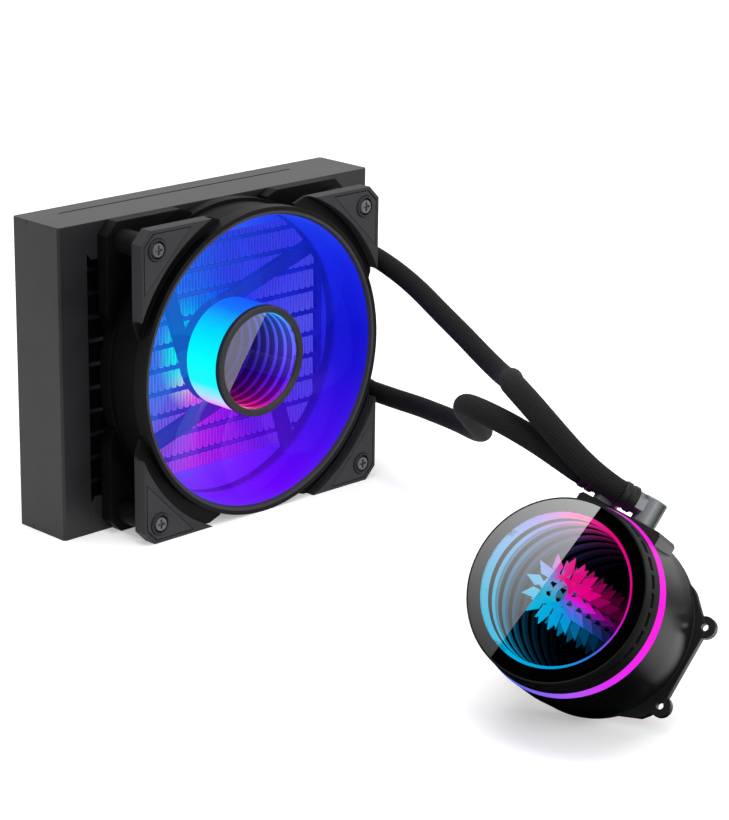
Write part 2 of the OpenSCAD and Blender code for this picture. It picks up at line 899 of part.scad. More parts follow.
// Plain rosette of diamonds on the underside of the glass
module centre_motif() {
    petals = 12;
    color(c_cyan)
        on_pump()
            translate([0, 0, pump_h - glass_t - motif_t])
                linear_extrude(motif_t) {
                    for (k = [0 : petals - 1])
                        rotate(k * 360 / petals)
                            polygon([[4.6, 0], [7.6, 1.7], [11.6, 0], [7.6, -1.7]]);
                    difference() {
                        circle(r = 5.2);
                        circle(r = 3.6);
                    }
                }
}

module front_glass() {
    color(c_glass)
        on_pump()
            translate([0, 0, pump_h - glass_t]) cylinder(r = rim_r - 0.5, h = glass_t);
}

// Elbow: stem in the block, round upright and a nipple at right angles to it
module elbow(side) {
    on_pump()
        translate([elbow_shift + side * elbow_gap / 2, 0, elbow_h])
            rotate([-90, 0, 0]) {
                difference() {
                    union() {
                        translate([0, 0, stem_foot + 0.2]) cylinder(r = stem_r, h = block_u - stem_foot);
                        translate([0, 0, block_u + 0.1]) cylinder(r = elbow_r, h = elbow_top - block_u - 0.5);
                        translate([0, 0, elbow_top - 0.4 - eps])
                            cylinder(r1 = elbow_r, r2 = elbow_r - 0.4, h = 0.4);
                        translate([0, 0, outlet_u])
                            rotate([0, -90, outlet_turn]) {
                                cylinder(r = nipple_r, h = outlet_l - 0.1);
                                cylinder(r = 3.7, h = elbow_r + 1.6, $fn = 6);
                            }
                    }
                    translate([0, 0, outlet_u])
                        rotate([0, -90, outlet_turn])
                            translate([0, 0, 2]) cylinder(r = nipple_bore_r, h = outlet_l);
                }
            }
}

module right_elbow() {
    color(c_steel) elbow(1);
}

module left_elbow() {
    color(c_steel) elbow(-1);
}

// Seal washer under an elbow's upright
module elbow_seal(side) {
    color(c_hose)
        on_pump()
            translate([elbow_shift + side * elbow_gap / 2, 0, elbow_h])
                rotate([-90, 0, 0])
                    translate([0, 0, stem_foot]) ring(stem_r - 0.6, stem_r - 1.6, 0.2);
}

module right_elbow_seal() {
    elbow_seal(1);
}

module left_elbow_seal() {
    elbow_seal(-1);
}

// Shrunk collar that holds a hose on its elbow
module hose_collar(side) {
    color(c_hose)
        on_pump()
            translate([elbow_shift + side * elbow_gap / 2, 0, elbow_h])
                rotate([-90, 0, 0])
                    translate([0, 0, outlet_u])
                        rotate([0, -90, outlet_turn])
                            collar(elbow_r + 1.6, outlet_l, nipple_r + run_gap);
}

module right_hose_collar() {
    hose_collar(1);
}

module left_hose_collar() {
    hose_collar(-1);
}

// Round tube swept along a route, one ring of points at each of the route's points
function unit(v) = v / norm(v);
function heading(p, i) = unit(p[min(i + 1, len(p) - 1)] - p[max(i - 1, 0)]);
function ring_points(c, t, r, n) =
    let (side = unit(cross(t, [0, 0, 1])), up = cross(side, t))
    [for (k = [0 : n - 1]) c + r * (cos(k * 360 / n) * side + sin(k * 360 / n) * up)];

module hose(route, first, last) {
    n = 10;
    m = len(route);
    points = [
        for (i = [0 : m - 1])
            let (t = i == 0 ? first : i == m - 1 ? last : heading(route, i))
            each ring_points(route[i], t, hose_d / 2, n)
    ];
    sides = [
        for (i = [0 : m - 2])
            for (k = [0 : n - 1])
                let (a = i * n + k, b = i * n + (k + 1) % n)
                each [[a, b, b + n], [a, b + n, a + n]]
    ];
    ends = [[for (k = [0 : n - 1]) n - 1 - k], [for (k = [0 : n - 1]) (m - 1) * n + k]];
    color(c_hose) polyhedron(points = points, faces = concat(sides, ends), convexity = 8);
}

// Turns a place in the pump's own axes into the part's axes, as on_pump() does
function turn_x(v, a) = [v[0], v[1] * cos(a) - v[2] * sin(a), v[1] * sin(a) + v[2] * cos(a)];
function turn_y(v, a) = [v[0] * cos(a) + v[2] * sin(a), v[1], v[2] * cos(a) - v[0] * sin(a)];
function turn_z(v, a) = [v[0] * cos(a) - v[1] * sin(a), v[0] * sin(a) + v[1] * cos(a), v[2]];
function turned(v) = turn_z(turn_y(turn_x(v, pump_tip), pump_roll), pump_turn);
outlet_dir = [-cos(outlet_turn), 0, sin(outlet_turn)];
function outlet_end(side) =
    [pump_x, pump_y, pump_z]
    + turned([elbow_shift + side * elbow_gap / 2, outlet_u, elbow_h] + outlet_l * outlet_dir);
function port_end(rise) = [port_x, front_y - nipple_l, rad_mid + rise];

module upper_hose() {
    hose(concat([outlet_end(1)], upper_route, [port_end(port_rise)]), turned(outlet_dir), [0, 1, 0]);
}

module lower_hose() {
    hose(concat([outlet_end(-1)], lower_route, [port_end(-port_drop)]), turned(outlet_dir), [0, 1, 0]);
}

left_tank();
right_tank();
left_header();
right_header();
top_side_plate();
bottom_side_plate();
flat_tubes();
fin_stack();
fill_plug();
upper_port();
lower_port();
upper_port_collar();
lower_port_collar();
fan_frame();
fan_duct();
fan_rear_frame();
corner_pads();
fan_screws();
fan_bearing();
fan_stator();
fan_board();
fan_shaft();
fan_rotor();
fan_blades();
magnet_ring();
hub_mirror();
hub_light_ring();
hub_lens();
hub_bezel();
pump_body();
pump_bracket();
bracket_screws();
cold_plate();
cold_plate_screws();
base_gasket();
pump_shaft();
impeller();
pump_stator();
pump_board();
side_light();
pump_cap();
pump_mirror();
mirror_light_ring();
centre_motif();
front_glass();
right_elbow();
left_elbow();
right_elbow_seal();
left_elbow_seal();
right_hose_collar();
left_hose_collar();
upper_hose();
lower_hose();
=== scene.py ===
# %% [markdown]
# A liquid cooler for a computer's processor. A radiator with a lit fan stands upright, and two
# sleeved hoses carry the coolant to a round pump head with a lit, mirrored face. The solids come
# from the part's CAD model. This file dresses them: it gives each one a finish, and puts finer
# pieces where the eye looks longest: the hoses and the fins of the radiator's core.

# %% The frame
import json
import math

import bpy
import numpy as np
from mathutils import Matrix


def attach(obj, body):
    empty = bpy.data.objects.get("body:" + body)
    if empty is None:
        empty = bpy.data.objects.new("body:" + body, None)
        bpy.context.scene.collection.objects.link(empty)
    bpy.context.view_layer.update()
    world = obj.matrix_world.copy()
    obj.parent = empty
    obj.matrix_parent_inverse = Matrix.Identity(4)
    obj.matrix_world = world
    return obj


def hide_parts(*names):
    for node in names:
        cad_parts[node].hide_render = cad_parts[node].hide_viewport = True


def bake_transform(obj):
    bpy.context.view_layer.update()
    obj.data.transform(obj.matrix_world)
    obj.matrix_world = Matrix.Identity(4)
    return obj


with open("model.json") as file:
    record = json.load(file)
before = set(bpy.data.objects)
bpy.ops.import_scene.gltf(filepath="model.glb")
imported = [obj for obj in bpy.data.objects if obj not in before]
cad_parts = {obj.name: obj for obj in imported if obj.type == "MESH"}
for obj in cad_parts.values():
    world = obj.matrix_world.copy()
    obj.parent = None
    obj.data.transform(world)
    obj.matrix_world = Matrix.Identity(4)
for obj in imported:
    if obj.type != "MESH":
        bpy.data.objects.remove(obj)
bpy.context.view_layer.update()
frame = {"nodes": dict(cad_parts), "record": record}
nodes = frame["nodes"]
print("CAD nodes:", len(nodes))

# %% [markdown]
# The camera stands where the photographer stood. Its place was worked out from the corners and
# screws of the radiator and fan, so it is given as three axes and a place. A long lens keeps the
# edges nearly parallel.

# %% The camera
CAMERA_RIGHT = (0.71379, -0.70024, 0.01324)
CAMERA_UP = (0.20225, 0.22419, 0.95333)
CAMERA_BACK = (-0.67052, -0.67780, 0.30164)
CAMERA_PLACE = (-0.65069, -0.75068, 0.34641)

camera_data = bpy.data.cameras.new("camera")
camera_data.sensor_fit = "VERTICAL"
camera_data.sensor_height = 36
camera_data.lens = 116.08
camera = bpy.data.objects.new("camera", camera_data)
camera.matrix_world = Matrix.Translation(CAMERA_PLACE) @ Matrix(
    (CAMERA_RIGHT, CAMERA_UP, CAMERA_BACK)
).transposed().to_4x4()
bpy.context.collection.objects.link(camera)
bpy.context.scene.camera = camera
print("lens:", camera_data.lens, "mm")

# %% [markdown]
# Three sets of axes save a lot of thought. The row frame is the part's own. The fan's axes start
# on the radiator's front face, with Z towards the viewer. The pump's axes are tipped and turned,
# because the pump head lies on the rim of its base. Sizes are in millimetres in all of them, and
# one matrix each takes a place back to the row frame.

# %% Axes of the fan and the pump
MM = 0.001


def turn(axis, degrees):
    """Rotation matrix about X, Y or Z."""
    return np.array(Matrix.Rotation(math.radians(degrees), 3, axis))


PUMP_TURN = turn("Z", -82.5) @ turn("Y", 13.5) @ turn("X", 56.5)
PUMP_PLACE = np.array([-41.0, -244.0, 31.6 * math.sqrt(1 - PUMP_TURN[2, 2] ** 2)])
FAN_TURN = turn("X", 90)
FAN_PLACE = np.array([0.0, -13.5, 60.0])


def from_pump(points):
    """Row frame places of points in the pump's axes: R p + t, in mm."""
    return np.asarray(points, float) @ PUMP_TURN.T + PUMP_PLACE


def from_fan(points):
    """Row frame places of points in the fan's axes: R p + t, in mm."""
    return np.asarray(points, float) @ FAN_TURN.T + FAN_PLACE


print("pump base at", np.round(PUMP_PLACE, 2))

# %% [markdown]
# Every new piece here is a sheet of points, worked out as one array of rows and columns. The
# helper turns such an array into quads. A row or a column may close on itself, as round a tube.

# %% From a grid of points to a mesh


def grid_faces(rows, columns, close_rows=False, close_columns=False):
    """Quads of a grid: point (i, j), (i, j+1), (i+1, j+1), (i+1, j), counted row by row."""
    i = np.arange(rows if close_rows else rows - 1)[:, None]
    j = np.arange(columns if close_columns else columns - 1)[None, :]
    i2, j2 = (i + 1) % rows, (j + 1) % columns
    return np.stack(
        [i * columns + j, i * columns + j2, i2 * columns + j2, i2 * columns + j], axis=-1
    ).reshape(-1, 4)


def make_piece(name, points, faces, body, material, uv=None, smooth=True):
    """A mesh object from points in mm, row frame, that rides on a body if one is named."""
    mesh = bpy.data.meshes.new(name)
    faces = faces if isinstance(faces, list) else faces.tolist()
    mesh.from_pydata((np.asarray(points).reshape(-1, 3) * MM).tolist(), [], faces)
    if uv is not None:
        loops = np.empty(len(mesh.loops), int)
        mesh.loops.foreach_get("vertex_index", loops)
        layer = mesh.uv_layers.new(name="UVMap")
        layer.data.foreach_set("uv", np.asarray(uv, float).reshape(-1, 2)[loops].ravel())
    mesh.polygons.foreach_set("use_smooth", np.full(len(mesh.polygons), smooth))
    mesh.materials.append(material)
    piece = bpy.data.objects.new(name, mesh)
    bpy.context.collection.objects.link(piece)
    if body:
        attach(piece, body)
    return piece


def revolve(profile, segments=96):
    """Rings of a profile (r, z): (r cos a, r sin a, z) for each angle a of a full turn."""
    profile = np.asarray(profile, float)
    a = np.linspace(0, 2 * np.pi, segments, endpoint=False)
    r, z = profile[:, 0][:, None], profile[:, 1][:, None]
    return np.stack([r * np.cos(a), r * np.sin(a), z + 0 * a], axis=-1)


# %% [markdown]
# Finishes are built from nodes. Two small helpers keep that short: one makes a material with its
# main shader, the other adds a node, sets its values and joins its inputs. Colours are written as
# they look on a screen, and turned into the linear values that the shader wants.

# %% Helpers for the finishes


def screen(red, green, blue):
    """Linear colour of a screen colour given as 0 to 255."""
    c = np.array([red, green, blue]) / 255
    lin = np.where(c <= 0.04045, c / 12.92, ((c + 0.055) / 1.055) ** 2.4)
    return (*lin.tolist(), 1.0)


def new_finish(name, color=(0.5, 0.5, 0.5, 1), roughness=0.5, metallic=0.0, specular=0.5):
    """A material with a Principled shader, and its node tree and shader."""
    material = bpy.data.materials.new(name)
    material.use_nodes = True
    tree = material.node_tree
    shader = tree.nodes["Principled BSDF"]
    shader.inputs["Base Color"].default_value = color
    shader.inputs["Roughness"].default_value = roughness
    shader.inputs["Metallic"].default_value = metallic
    shader.inputs["Specular IOR Level"].default_value = specular
    return material, tree, shader


def add(tree, kind, inputs=(), **settings):
    """A node with its settings. inputs maps a socket's name or number to a value or a socket."""
    made = tree.nodes.new("ShaderNode" + kind)
    for key, value in settings.items():
        setattr(made, key, value)
    for key, value in dict(inputs).items():
        if isinstance(value, bpy.types.NodeSocket):
            tree.links.new(value, made.inputs[key])
        else:
            made.inputs[key].default_value = value
    return made


def maths(tree, operation, a, b=0.0, c=0.0):
    """One Math node's result."""
    return add(tree, "Math", {0: a, 1: b, 2: c}, operation=operation).outputs[0]


def ramp(tree, value, stops, interpolation="LINEAR"):
    """Colour ramp through stops (place, colour)."""
    made = add(tree, "ValToRGB", {"Fac": value})
    made.color_ramp.interpolation = interpolation
    elements = made.color_ramp.elements
    while len(elements) < len(stops):
        elements.new(0.5)
    for element, (place, color) in zip(elements, stops):
        element.position = place
        element.color = color
    return made.outputs["Color"]


def local_mm(tree, rotation, place):
    """Separate X, Y, Z in mm along a set of axes: R' (p - t), by one Mapping node."""
    back = Matrix(rotation.T.tolist())
    shift = -rotation.T @ place
    coordinates = add(tree, "TexCoord").outputs["Object"]
    mapping = add(tree, "Mapping", {"Vector": coordinates})
    mapping.inputs["Scale"].default_value = (1000, 1000, 1000)
    mapping.inputs["Rotation"].default_value = back.to_euler("XYZ")
    mapping.inputs["Location"].default_value = shift.tolist()
    return add(tree, "SeparateXYZ", {0: mapping.outputs[0]}).outputs


def round_the_axis(tree, x, y):
    """Angle about the axis as 0 to 1, counted from +X: atan2(y, x) / 2 pi, wrapped."""
    angle = maths(tree, "ARCTAN2", y, x)
    return maths(tree, "FRACT", maths(tree, "ADD", maths(tree, "DIVIDE", angle, 2 * math.pi), 1.0))


def radius(tree, x, y):
    """Distance from the axis: sqrt(x^2 + y^2)."""
    squares = maths(tree, "ADD", maths(tree, "MULTIPLY", x, x), maths(tree, "MULTIPLY", y, y))
    return maths(tree, "SQRT", squares)


def grain(tree, shader, scale, strength, distance=0.0001):
    """Fine mould or paint grain: noise on Object coordinates as a bump."""
    coordinates = add(tree, "TexCoord").outputs["Object"]
    noise = add(tree, "TexNoise", {"Vector": coordinates, "Scale": scale, "Detail": 4.0})
    bump = add(
        tree, "Bump", {"Strength": strength, "Distance": distance, "Height": noise.outputs["Fac"]}
    )
    tree.links.new(bump.outputs[0], shader.inputs["Normal"])
    return noise.outputs["Fac"]


def speckle(tree, shader, factor, dark, light):
    """Slight change of colour that follows a noise."""
    color = ramp(tree, factor, [(0.3, dark), (0.7, light)])
    tree.links.new(color, shader.inputs["Base Color"])


# %% [markdown]
# The hoses come first, because they decide how large the part is. Each is a rubber hose in a
# braided sleeve, about 8 mm thick. The CAD model gives a few places along each one. A smooth curve
# through them is sampled every 2 mm, and a ring of points is swept along it.

# %% Middle lines of the hoses
PORT_X = 71.0
OUTLET_TURN = math.radians(38)
OUTLET_DIR = np.array([-math.cos(OUTLET_TURN), 0.0, math.sin(OUTLET_TURN)])


def outlet_end(side):
    """Where a hose begins: 11 mm out of its elbow's upright, along the outlet."""
    return from_pump(np.array([-1 + side * 7.3, 36.8, 25.5]) + 11 * OUTLET_DIR)


UPPER_ROUTE = [
    (-51, -249, 78), (-55, -241, 86), (-56, -229, 95), (-51, -215, 99), (-42, -202, 98),
    (-30, -192, 94), (-19, -182, 89), (-7, -171, 84), (5, -160, 79), (17, -150, 74),
    (29, -139, 69), (40, -129, 65), (49, -117, 62), (55, -101, 65), (59, -86, 70),
    (62, -71, 75), (66, -56, 80), (69, -41, 84),
]
LOWER_ROUTE = [
    (-51, -237, 80), (-53, -227, 85), (-53, -213, 88), (-51, -199, 89), (-45, -185, 87),
    (-34, -175, 81), (-23, -165, 75), (-11, -156, 69), (0, -147, 63), (11, -138, 57),
    (23, -129, 51), (34, -120, 45), (45, -111, 40), (54, -100, 35), (60, -86, 34),
    (64, -70, 33), (68, -55, 32), (70, -40, 31),
]


def smooth_line(route, first, first_dir, last, last_dir, step=2.0, relax=25):
    """Evenly spaced points on a soft curve through a route.

    The route is cut into even steps by its length, and each inner point is moved towards the
    mean of its neighbours a few times, which rounds the corners. The ends stay in line with
    the fittings they come from."""
    corners = np.array([first, first + 3 * first_dir, *route, last - 3 * last_dir, last])
    length = np.concatenate([[0], np.cumsum(np.linalg.norm(np.diff(corners, axis=0), axis=1))])
    count = int(round(length[-1] / step)) + 1
    at = np.linspace(0, length[-1], count)
    line = np.stack([np.interp(at, length, corners[:, k]) for k in range(3)], axis=1)
    for _ in range(relax):
        line[2:-2] = 0.5 * line[2:-2] + 0.25 * (line[1:-3] + line[3:-1])
    return line


def tube(line, size, sides=32):
    """Rings round a line: p + r (cos a s + sin a u), with s = t x up and u = s x t."""
    t = np.gradient(line, axis=0)
    t /= np.linalg.norm(t, axis=1, keepdims=True)
    s = np.cross(t, [0, 0, 1])
    s /= np.linalg.norm(s, axis=1, keepdims=True)
    u = np.cross(s, t)
    a = np.linspace(0, 2 * np.pi, sides, endpoint=False)
    return (
        line[:, None, :]
        + size * (np.cos(a)[None, :, None] * s[:, None, :] + np.sin(a)[None, :, None] * u[:, None, :])
    )


OUT = PUMP_TURN @ OUTLET_DIR
BACK = np.array([0.0, 1.0, 0.0])
upper_line = smooth_line(UPPER_ROUTE, outlet_end(1), OUT, np.array([PORT_X, -24, 87]), BACK)
lower_line = smooth_line(LOWER_ROUTE, outlet_end(-1), OUT, np.array([PORT_X, -24, 31]), BACK)


def line_length(line):
    """Length of a line in mm."""
    return float(np.linalg.norm(np.diff(line, axis=0), axis=1).sum())


print("hoses:", round(line_length(upper_line), 1), round(line_length(lower_line), 1), "mm")

# %% [markdown]
# A braided sleeve is two families of fine strands that wind round the hose in opposite ways. On
# the tube's own UV map that is two sets of slanted waves, and the higher one shows. The result
# sets the bump, and a painted shade from charcoal on the strands' tops to black in the hollows.

# %% Braided sleeve
sleeve, tree, shader = new_finish("sleeve", screen(16, 16, 17), roughness=0.8, specular=0.12)
uv = add(tree, "SeparateXYZ", {0: add(tree, "TexCoord").outputs["UV"]}).outputs
along = maths(tree, "MULTIPLY", uv[0], 2 * math.pi / 1.9)
around = maths(tree, "MULTIPLY", uv[1], 2 * math.pi * 14)
strand_a = maths(tree, "SINE", maths(tree, "ADD", along, around))
strand_b = maths(tree, "SINE", maths(tree, "SUBTRACT", along, around))
ribs = maths(tree, "MULTIPLY_ADD", maths(tree, "MAXIMUM", strand_a, strand_b), 0.5, 0.5)
bump = add(tree, "Bump", {"Strength": 0.55, "Distance": 0.0003, "Height": ribs})
tree.links.new(bump.outputs[0], shader.inputs["Normal"])
# Painted shade: the colour runs from black in the braid's hollows to charcoal on the strands' tops.
tree.links.new(
    ramp(tree, ribs, [(0.25, screen(4, 4, 5)), (0.9, screen(27, 27, 28))]),
    shader.inputs["Base Color"],
)
print("sleeve finish made")

# %% The two hoses


def make_hose(name, node, line, rise):
    """A sleeved hose round a line, with closed ends and a UV map of length and turn."""
    sides = 32
    rings = tube(line, 4.0, sides)
    rows = len(rings)
    points = np.concatenate([rings.reshape(-1, 3), line[:1], line[-1:]])
    faces = grid_faces(rows, sides, close_columns=True).tolist()
    k = np.arange(sides)
    last = (rows - 1) * sides
    faces += np.stack([0 * k + rows * sides, (k + 1) % sides, k], axis=1).tolist()
    faces += np.stack([0 * k + rows * sides + 1, last + k, last + (k + 1) % sides], axis=1).tolist()
    s = np.concatenate([[0], np.cumsum(np.linalg.norm(np.diff(line, axis=0), axis=1))])
    uv = np.stack(np.meshgrid(s, 1 - np.abs(2 * k / sides - 1), indexing="ij"), axis=-1).reshape(-1, 2)
    uv = np.concatenate([uv, [[0, 0], [s[-1], 0]]])
    piece = make_piece(name, points, faces, None, sleeve, uv)
    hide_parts(node)
    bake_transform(piece)
    return piece


upper_hose = make_hose("hose_upper", "upper_hose", upper_line, 1)
lower_hose = make_hose("hose_lower", "lower_hose", lower_line, -1)
print("hose pieces:", upper_hose.name, lower_hose.name)

# %% [markdown]
# A studio of white paper. The floor is lit like any floor, and a little light of its own, which
# only the camera, glossy and see-through rays meet, lifts it to white while the shadow stays. The
# world is a plain grey light that looks white behind the object. Three large soft lamps
# shape the black parts.

# %% Stage and lamps
scene = bpy.context.scene
scene.view_settings.view_transform = "Standard"
scene.cycles.max_bounces = 24
scene.cycles.glossy_bounces = 20
scene.cycles.transparent_max_bounces = 24
scene.cycles.min_light_bounces = 10
scene.cycles.min_transparent_bounces = 10


def background_rays(tree):
    """1 for camera, glossy and see-through rays, 0 for light that falls on things."""
    path = add(tree, "LightPath").outputs
    seen = maths(tree, "MAXIMUM", path["Is Camera Ray"], path["Is Glossy Ray"])
    return maths(tree, "MAXIMUM", seen, path["Is Transmission Ray"])


world = bpy.data.worlds.new("studio")
scene.world = world
world.use_nodes = True
tree = world.node_tree
paper = add(tree, "Background", {"Color": (1, 1, 1, 1), "Strength": 1.0})
room = add(tree, "Background", {"Color": (1, 1, 1, 1), "Strength": 0.55})
both = add(tree, "MixShader", {0: background_rays(tree), 1: room.outputs[0], 2: paper.outputs[0]})
tree.links.new(both.outputs[0], tree.nodes["World Output"].inputs["Surface"])

floor_finish, tree, shader = new_finish("paper_floor", (0.85, 0.85, 0.85, 1), roughness=0.9)
shader.inputs["Specular IOR Level"].default_value = 0.0
lift = add(tree, "Emission", {"Strength": maths(tree, "MULTIPLY", background_rays(tree), 0.35)})
total = add(tree, "AddShader", {0: shader.outputs[0], 1: lift.outputs[0]})
tree.links.new(total.outputs[0], tree.nodes["Material Output"].inputs["Surface"])


def stage_sheet(name, corners, material):
    """A flat four-cornered sheet of the studio, corners in metres."""
    mesh = bpy.data.meshes.new(name)
    mesh.from_pydata([tuple(c) for c in corners], [], [(0, 1, 2, 3)])
    mesh.materials.append(material)
    sheet = bpy.data.objects.new(name, mesh)
    bpy.context.collection.objects.link(sheet)
    return sheet


stage_sheet("floor", [(-6, -6, 0), (6, -6, 0), (6, 6, 0), (-6, 6, 0)], floor_finish)


def soft_lamp(name, place, target, size, power):
    """A square area lamp that looks at a target."""
    data = bpy.data.lights.new(name, "AREA")
    data.size = size
    data.energy = power
    lamp = bpy.data.objects.new(name, data)
    direction = Matrix.Translation(place).to_translation() - Matrix.Translation(target).to_translation()
    lamp.matrix_world = Matrix.Translation(place) @ direction.to_track_quat("Z", "Y").to_matrix().to_4x4()
    bpy.context.collection.objects.link(lamp)
    return lamp


soft_lamp("lamp_above", (0.0, -0.1, 1.5), (0.0, -0.1, 0.0), 1.2, 16)
soft_lamp("lamp_front", (-0.3, -1.5, 0.9), (0.0, -0.1, 0.06), 0.9, 9)
soft_lamp("lamp_right", (1.1, -0.9, 0.35), (0.0, -0.2, 0.05), 0.5, 3)

# %% [markdown]
# Black parts look black only because their edges and grain catch the light. The Bevel node rounds
# each sharp edge by a few tenths of a millimetre in the shading, and a fine noise breaks the
# shine, as on moulded plastic or powder paint.

# %% Plain finishes of the CAD solids


def rounded(tree, shader, size_mm, scale=0.0, strength=0.0, distance=0.00005):
    """Edges rounded in the shading, with an optional grain on top of them."""
    edge = add(tree, "Bevel", {"Radius": size_mm * MM}, samples=4)
    normal = edge.outputs[0]
    if scale:
        coordinates = add(tree, "TexCoord").outputs["Object"]
        noise = add(tree, "TexNoise", {"Vector": coordinates, "Scale": scale, "Detail": 3.0})
        bump = add(
            tree,
            "Bump",
            {"Strength": strength, "Distance": distance, "Height": noise.outputs["Fac"], "Normal": normal},
        )
        normal = bump.outputs[0]
    tree.links.new(normal, shader.inputs["Normal"])


def mottled(tree, shader, scale, dark, light):
    """Slight change of colour from a soft noise on Object coordinates."""
    coordinates = add(tree, "TexCoord").outputs["Object"]
    noise = add(tree, "TexNoise", {"Vector": coordinates, "Scale": scale, "Detail": 4.0})
    color = ramp(tree, noise.outputs["Fac"], [(0.3, dark), (0.7, light)])
    tree.links.new(color, shader.inputs["Base Color"])
    return color


def plain(name, dark, light, roughness, metallic=0.0, specular=0.5, edge=0.3, scale=3000, strength=0.15):
    """A mottled finish with rounded edges and a fine grain."""
    material, tree, shader = new_finish(name, light, roughness, metallic, specular)
    mottled(tree, shader, 60, dark, light)
    rounded(tree, shader, edge, scale, strength)
    return material


finishes = {
    "rad_core": plain("rad_core_paint", screen(8, 8, 9), screen(14, 14, 15), 0.6, specular=0.2),
    "steel": plain("steel", screen(150, 150, 152), screen(182, 182, 185), 0.28, 1.0),
    "ferrule": plain("ferrule", screen(10, 10, 11), screen(17, 17, 18), 0.5, specular=0.2),
    "pad_rubber": plain("pad_rubber", screen(44, 44, 47), screen(50, 50, 53), 0.62, specular=0.25, edge=0.15),
    "screw_black": plain("screw_black", screen(88, 88, 91), screen(104, 104, 107), 0.34, 0.35, edge=0.25),
    "copper": plain("copper", screen(176, 104, 72), screen(204, 128, 92), 0.3, 1.0, edge=0.2),
    "board": plain("board", screen(16, 46, 30), screen(24, 60, 40), 0.4, edge=0.1),
    "bezel": plain("bezel", screen(36, 36, 35), screen(44, 44, 42), 0.42, specular=0.3, edge=0.4),
    "bracket": plain("bracket", screen(8, 8, 9), screen(14, 14, 15), 0.38, specular=0.3, edge=0.35),
    "seal": plain("seal", screen(10, 10, 10), screen(16, 16, 16), 0.7, specular=0.2),
    "impeller": plain("impeller", screen(196, 196, 190), screen(214, 214, 210), 0.45),
    "elbow_metal": plain("elbow_metal", screen(96, 99, 101), screen(116, 119, 121), 0.38, 0.85, edge=0.35),
    "pump_black": plain("pump_black", screen(9, 9, 10), screen(15, 15, 16), 0.34, specular=0.25, edge=0.4),
}
cap_black = plain("cap_black", screen(13, 13, 14), screen(19, 19, 20), 0.5, specular=0.1, edge=0.4)
print("plain finishes:", len(finishes) + 1)

# %% [markdown]
# The fan is lit by lamps in its hub, so its colours change round the axis: cyan at the left,
# magenta below, blue and violet at the right. That light is painted: one colour ramp by angle,
# as an emission, gives the light on the duct's inner wall and the struts. The same finish is plain
# grey plastic outside the opening, with painted shade in the grooves beside the ring, and a
# darker copy of it paints shade on the duct and the rear frame.

# %% Light in the fan
FAN_LIGHT = [
    (0, (16, 16, 205)), (30, (20, 34, 224)), (60, (30, 60, 235)), (95, (40, 90, 250)),
    (125, (36, 110, 255)), (160, (24, 130, 255)), (200, (40, 105, 250)), (230, (70, 60, 238)),
    (255, (110, 30, 245)), (285, (104, 0, 250)), (315, (66, 10, 235)), (345, (24, 14, 210)),
    (360, (16, 16, 205)),
]


def color_round(tree, x, y, stops):
    """Screen colours by the angle about the axis, stops in degrees from +X."""
    return ramp(tree, round_the_axis(tree, x, y), [(a / 360, screen(*c)) for a, c in stops])


def shine(tree, shader, color, strength):
    """Light of a surface in a linked colour, with a plain strength or a linked one."""
    tree.links.new(color, shader.inputs["Emission Color"])
    if isinstance(strength, bpy.types.NodeSocket):
        tree.links.new(strength, shader.inputs["Emission Strength"])
    else:
        shader.inputs["Emission Strength"].default_value = strength


def step_below(tree, value, edge, width=0.4):
    """1 below the edge, 0 above it, with a soft step of the given width."""
    made = add(tree, "MapRange", {"Value": value, "From Min": edge, "From Max": edge + width})
    made.inputs["To Min"].default_value = 1.0
    made.inputs["To Max"].default_value = 0.0
    return made.outputs[0]


def fan_finish(name, dark, light, specular):
    """Black plastic with painted light where it faces the airway, as an emission by angle, painted shade in the
    grooves beside the ring, and a grey front lip on the ring.
    """
    material, tree, shader = new_finish(name, light, roughness=0.55, specular=specular)
    x, y, z = local_mm(tree, FAN_TURN, FAN_PLACE)
    r = radius(tree, x, y)
    # Painted light: an emission in the fan's colours on the faces towards the airway, stronger at the front of
    # the struts.
    airway = maths(tree, "MULTIPLY", step_below(tree, r, 56.8, 0.3), step_below(tree, z, 23.2, 0.6))
    lit = maths(tree, "MULTIPLY", airway, maths(tree, "SUBTRACT", 1.0, step_below(tree, r, 14.0)))
    struts = add(tree, "MapRange", {"Value": z, "From Min": 3.2, "From Max": 5.6, "To Min": 0.5, "To Max": 1.0})
    shine(tree, shader, color_round(tree, x, y, FAN_LIGHT), maths(tree, "MULTIPLY", lit, struts.outputs[0]))
    # Painted shade: near black in the grooves round the ring and on the rim beside it.
    groove_shade = maths(tree, "SUBTRACT", step_below(tree, r, 65.3, 0.1), step_below(tree, r, 60.03, 0.05))
    groove_shade = maths(tree, "MULTIPLY", groove_shade, step_below(tree, z, 24.5, 0.3))
    rim = maths(tree, "SUBTRACT", step_below(tree, r, 60.03, 0.05), step_below(tree, r, 58.3, 0.1))
    groove_shade = maths(tree, "MAXIMUM", groove_shade, maths(tree, "MULTIPLY", rim, maths(tree, "GREATER_THAN", z, 19.0)))
    mottle = mottled(tree, shader, 60, dark, light)
    sunk = add(tree, "Mix", {0: groove_shade, 6: mottle, 7: screen(2, 2, 2)}, data_type="RGBA")
    lip = maths(tree, "MULTIPLY", step_below(tree, r, 58.3, 0.05), maths(tree, "GREATER_THAN", z, 24.6))
    ring = add(tree, "Mix", {0: lip, 6: sunk.outputs[2], 7: screen(58, 58, 61)}, data_type="RGBA")
    base = add(tree, "Mix", {0: lit, 6: ring.outputs[2], 7: screen(1, 1, 6)}, data_type="RGBA")
    tree.links.new(base.outputs[2], shader.inputs["Base Color"])
    rounded(tree, shader, 0.45, 3000, 0.15)
    return material


finishes["fan_plastic"] = fan_finish("fan_plastic", screen(46, 46, 48), screen(52, 52, 55), 0.14)
# A darker copy of the same plastic for the duct and the rear frame: painted shade.
fan_shaded = fan_finish("fan_plastic_shaded", screen(7, 7, 8), screen(12, 12, 13), 0.08)

